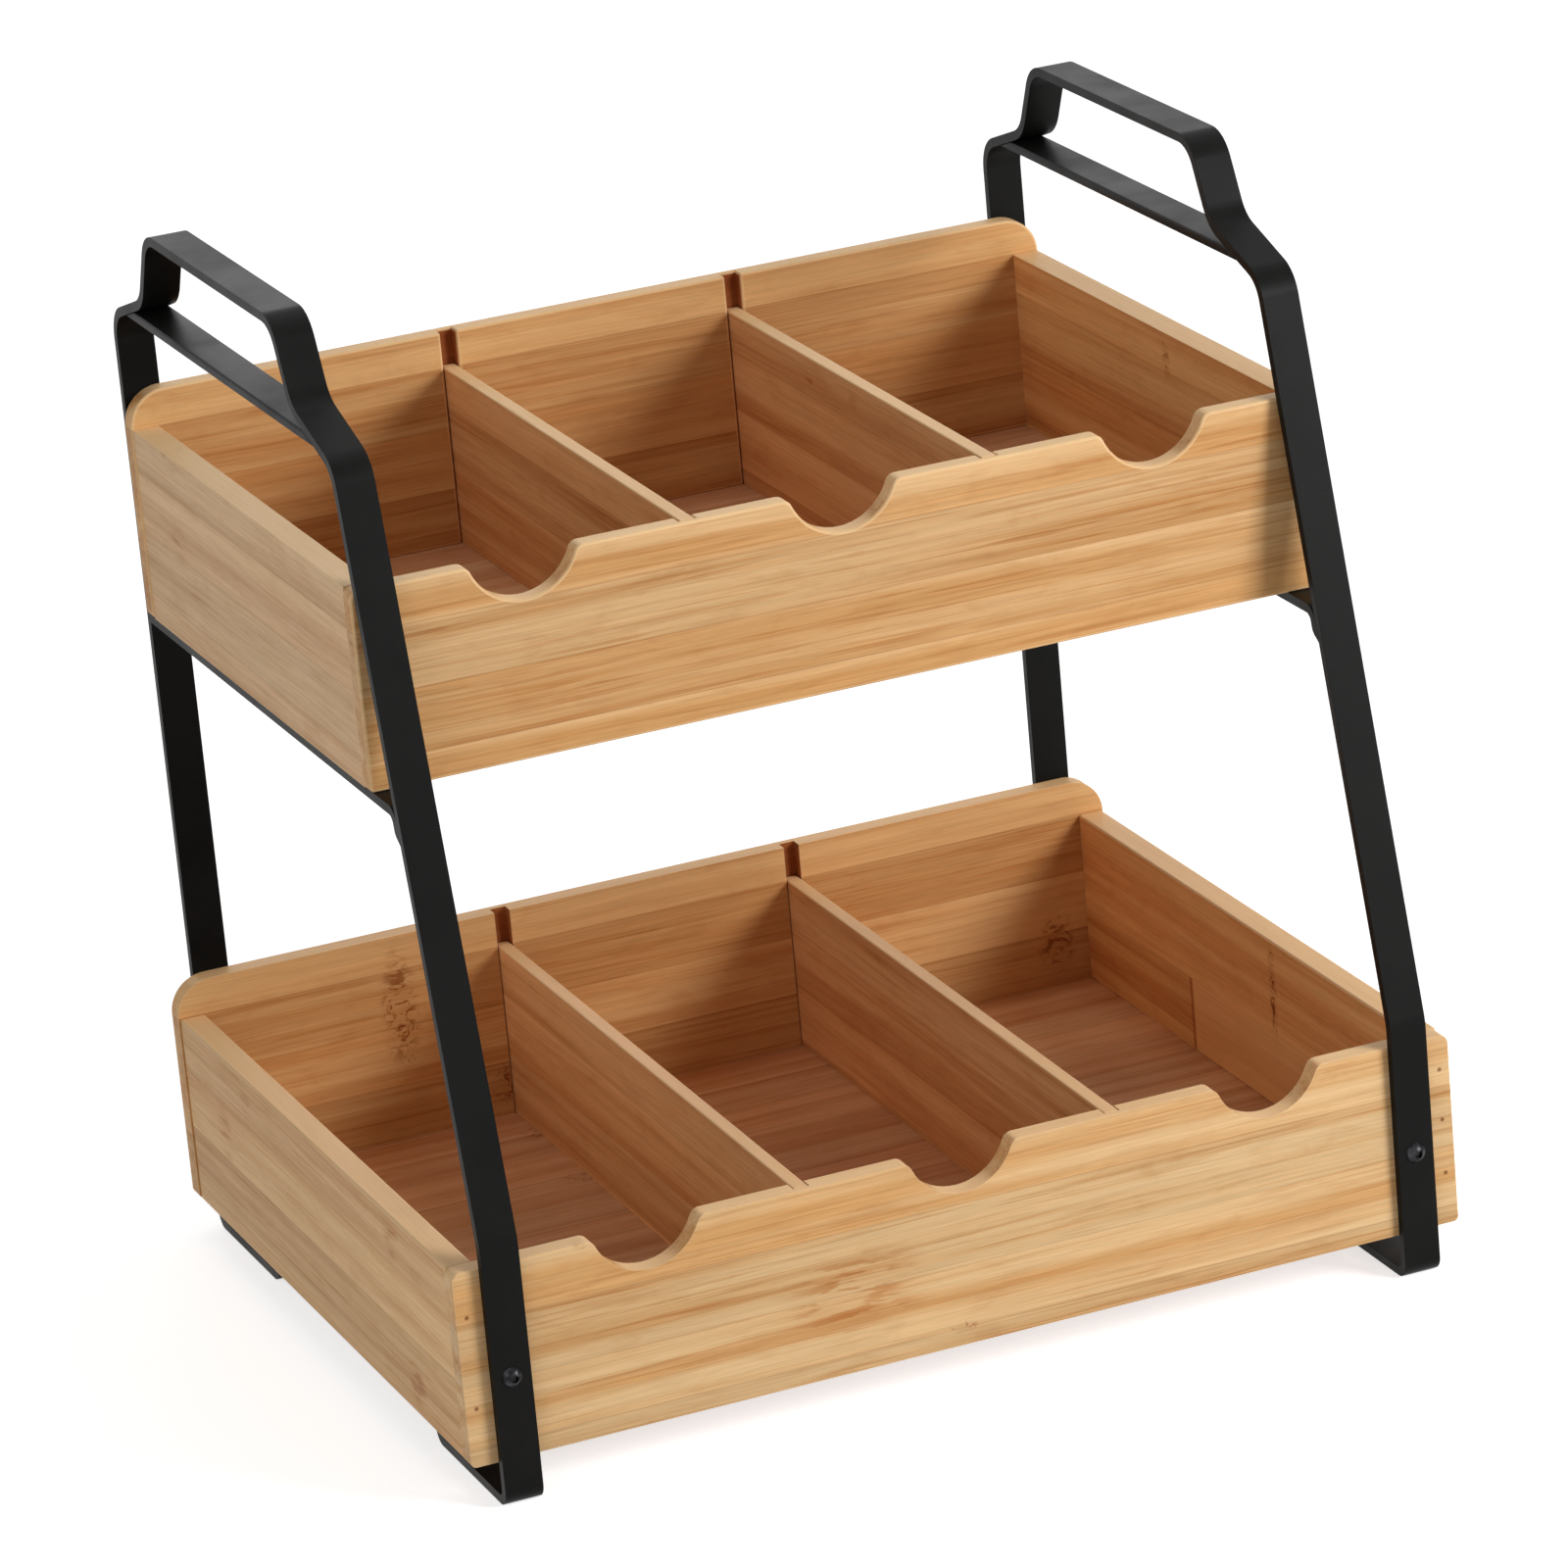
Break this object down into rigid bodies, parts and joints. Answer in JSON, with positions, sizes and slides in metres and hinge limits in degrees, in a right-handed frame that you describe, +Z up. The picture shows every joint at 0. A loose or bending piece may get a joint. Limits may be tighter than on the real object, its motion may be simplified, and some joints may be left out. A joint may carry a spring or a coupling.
{
  "type": "countertop organizer",
  "caption": "Coffee station organizer: tiered wooden trays with finger scoops and lift-out dividers, hung in black flat-bar steel side frames with carrying handles.",
  "frame": {"origin": "centre of the footprint, on the surface that the feet stand on", "axes": "+X along the trays to the right as seen from the front, +Y from the scooped front panels to the back, +Z up"},
  "size_m": [0.345, 0.2784, 0.362],
  "materials": {
    "bamboo_board": "clear satin lacquer",
    "bamboo_inner": "clear satin lacquer",
    "black_steel": "satin black powder coat",
    "screw_steel": "black oxide, satin"
  },
  "bodies": {
    "stand": {"left_side_band": "black_steel", "right_side_band": "black_steel", "left_grip_rail": "black_steel", "right_grip_rail": "black_steel", "left_shelf_rail": "black_steel", "right_shelf_rail": "black_steel", "lower_front_panel": "bamboo_board", "lower_back_panel": "bamboo_board", "lower_left_end": "bamboo_board", "lower_right_end": "bamboo_board", "upper_front_panel": "bamboo_board", "upper_back_panel": "bamboo_board", "upper_left_end": "bamboo_board", "upper_right_end": "bamboo_board", "lower_floor": "bamboo_inner", "upper_floor": "bamboo_inner", "front_left_screw": "screw_steel", "front_right_screw": "screw_steel", "rear_left_screw": "screw_steel", "rear_right_screw": "screw_steel", "shelf_front_left_screw": "screw_steel", "shelf_front_right_screw": "screw_steel", "shelf_rear_left_screw": "screw_steel", "shelf_rear_right_screw": "screw_steel"},
    "lower_left_divider": {"lower_left_divider": "bamboo_inner"},
    "lower_right_divider": {"lower_right_divider": "bamboo_inner"},
    "upper_left_divider": {"upper_left_divider": "bamboo_inner"},
    "upper_right_divider": {"upper_right_divider": "bamboo_inner"}
  },
  "joints": [
    {"name": "lower_left_divider_lift", "type": "slide", "parent": "stand", "child": "lower_left_divider", "axis": [0, 0, 1], "range_m": [0, 0.139]},
    {"name": "lower_right_divider_lift", "type": "slide", "parent": "stand", "child": "lower_right_divider", "axis": [0, 0, 1], "range_m": [0, 0.139]},
    {"name": "upper_left_divider_lift", "type": "slide", "parent": "stand", "child": "upper_left_divider", "axis": [0, 0, 1], "range_m": [0, 0.14]},
    {"name": "upper_right_divider_lift", "type": "slide", "parent": "stand", "child": "upper_right_divider", "axis": [0, 0, 1], "range_m": [0, 0.14]}
  ]
}
